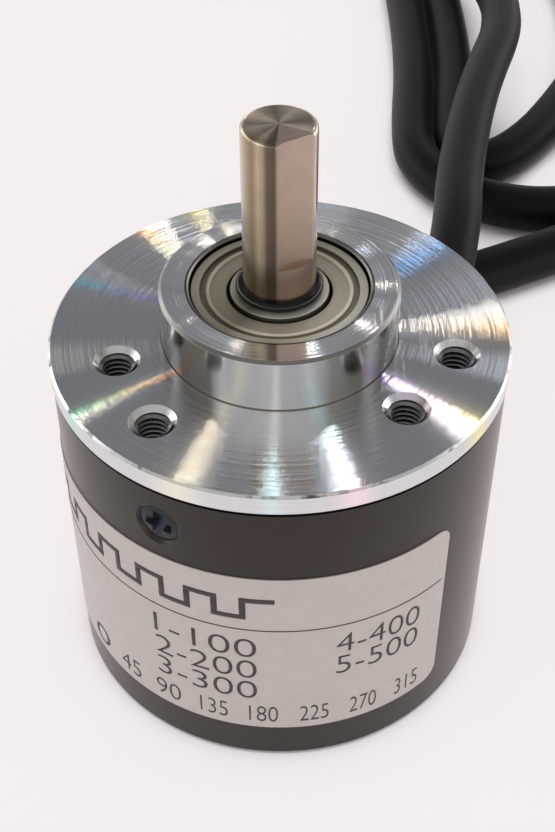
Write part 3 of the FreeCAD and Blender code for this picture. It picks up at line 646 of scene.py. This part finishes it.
# deep between two strands of the cable it goes dark
shut = addNode(tree, "ShaderNodeAmbientOcclusion", {}, {"Distance": tableLook["shadeReach"] * mm})
clear = addNode(tree, "ShaderNodeMapRange", {}, {"From Min": 0.3, "From Max": 0.62, "To Max": tableLook["ownWhite"]},
                {"Value": shut.outputs["AO"]})
share = addNode(tree, "ShaderNodeMath", {"operation": "MULTIPLY"}, {},
                {0: seen.outputs["Value"], 1: clear.outputs["Result"]})
white = addNode(tree, "ShaderNodeEmission", {}, {"Color": linear("#fff9f9")})
mixed = addNode(tree, "ShaderNodeMixShader", {}, {},
                {0: share.outputs["Value"], 1: tree.nodes["Principled BSDF"].outputs[0], 2: white.outputs[0]})
tree.links.new(mixed.outputs[0], tree.nodes["Material Output"].inputs["Surface"])
floor = addMesh("floor", toMesh(shape, "floor"), tableTop)
floor.location = (0, 0, tableZ * mm)

# The room is bright low before the object and at its two sides, and darker above and beyond it, where the turned
# face looks. Each ramp goes from the horizon to straight above.
world = bpy.data.worlds.new("room")
scene.world = world
world.use_nodes = True
tree = world.node_tree
sky = tree.nodes["Background"]
sky.inputs["Strength"].default_value = 2.5
place = addNode(tree, "ShaderNodeTexCoord")
split = addNode(tree, "ShaderNodeSeparateXYZ", {}, {}, {"Vector": place.outputs["Generated"]})
ramps = []
for stops in (
        ((0.0, "#dcd9d7"), (0.15, "#cbc8c5"), (0.4, "#696969"), (0.6, "#4f5053"), (0.85, "#535456"), (1.0, "#747474")),
        ((0.0, "#ffffff"), (0.16, "#f8f5f3"), (0.34, "#92908e"), (0.8, "#7e7c7a"), (1.0, "#808080")),
        ((0.0, "#ffffff"), (0.26, "#ffffff"), (0.46, "#807e7c"), (0.7, "#5a5856"), (1.0, "#707070"))):
    ramp = addNode(tree, "ShaderNodeValToRGB", {}, {}, {"Fac": split.outputs["Z"]})
    setRamp(ramp, stops)
    ramps.append(ramp.outputs["Color"])
beyond, inFront, atSides = ramps
frontShare = addNode(tree, "ShaderNodeMapRange", {"interpolation_type": "SMOOTHSTEP"},
                     {"From Min": 0.3, "From Max": -0.25}, {"Value": split.outputs["Y"]})
ends = addNode(tree, "ShaderNodeMix", {"data_type": "RGBA"}, {},
               {0: frontShare.outputs["Result"], 6: beyond, 7: inFront})
sideways = addNode(tree, "ShaderNodeMath", {"operation": "ABSOLUTE"}, {}, {0: split.outputs["X"]})
sideShare = addNode(tree, "ShaderNodeMapRange", {"interpolation_type": "SMOOTHSTEP"},
                    {"From Min": 0.45, "From Max": 0.85}, {"Value": sideways.outputs["Value"]})
room = addNode(tree, "ShaderNodeMix", {"data_type": "RGBA"}, {},
               {0: sideShare.outputs["Result"], 6: ends.outputs[2], 7: atSides})
tree.links.new(room.outputs[2], sky.inputs["Color"])
# seen directly or through glass, the room is the table's white, so that low views show no horizon;
# metal mirrors the room as it is
rays = addNode(tree, "ShaderNodeLightPath")
seen = addNode(tree, "ShaderNodeMath", {"operation": "ADD"}, {},
               {0: rays.outputs["Is Camera Ray"], 1: rays.outputs["Is Transmission Ray"]})
backdrop = addNode(tree, "ShaderNodeBackground", {}, {"Color": linear("#f6f0f0")})
direct = addNode(tree, "ShaderNodeMixShader", {}, {},
                 {0: seen.outputs["Value"], 1: sky.outputs[0], 2: backdrop.outputs[0]})
tree.links.new(direct.outputs[0], tree.nodes["World Output"].inputs["Surface"])

# Strip lamps beyond the object, each in line with one fan: its light comes to the eye from the tool marks' slopes
# at that angle. The fan's angle, slope, length and width in metres, power, colour; the last four are broad and faint.
lampLook = {"distance": 1.5, "faceRadius": 15.0}
for fan, slope, length, width, power, colour in (
        (0, 0.2, 0.3, 0.012, 0.38, "#fff6ea"), (39, 0.14, 0.1, 0.03, 0.12, "#dfeaff"),
        (115, 0.11, 0.05, 0.02, 0.08, "#fff6d8"), (131, 0.14, 0.08, 0.022, 0.34, "#fff1e4"),
        (159, 0.2, 0.15, 0.006, 0.07, "#f0e8ff"), (212, 0.22, 0.2, 0.006, 0.12, "#fff0e0"),
        (246, 0.18, 0.25, 0.006, 0.15, "#fff4e2"), (268, 0.2, 0.3, 0.006, 0.15, "#f2ffff"),
        (287, 0.18, 0.25, 0.02, 0.3, "#f4fbff"), (324, 0.2, 0.3, 0.02, 0.45, "#fff2f6"),
        (15, 0.16, 0.15, 0.15, 0.06, "#eaf2ff"), (75, 0.1, 0.06, 0.1, 0.04, "#f2f4ff"),
        (345, 0.18, 0.15, 0.08, 0.06, "#f4f6ff"), (192, 0.2, 0.15, 0.1, 0.04, "#fff2e6")):
    outward = polar(1, fan, 0)
    toEye = (viewer.location - outward * lampLook["faceRadius"] * mm).normalized()
    x, y = outward.x * slope - toEye.x, outward.y * slope - toEye.y
    aim = Vector((x, y, math.sqrt(1 - x * x - y * y)))
    lengthwise = (outward - aim * outward.dot(aim)).normalized()
    light = bpy.data.lights.new("stripLamp", "AREA")
    light.shape = "RECTANGLE"
    light.size, light.size_y = length, width
    light.energy = power
    light.color = linear(colour)[:3]
    item = bpy.data.objects.new("stripLamp", light)
    facing = Matrix((lengthwise, aim.cross(lengthwise), aim)).transposed().to_4x4()
    item.matrix_world = Matrix.Translation(aim * lampLook["distance"]) @ facing
    scene.collection.objects.link(item)
scene.view_settings.view_transform = "Standard"
print("floor and light set")
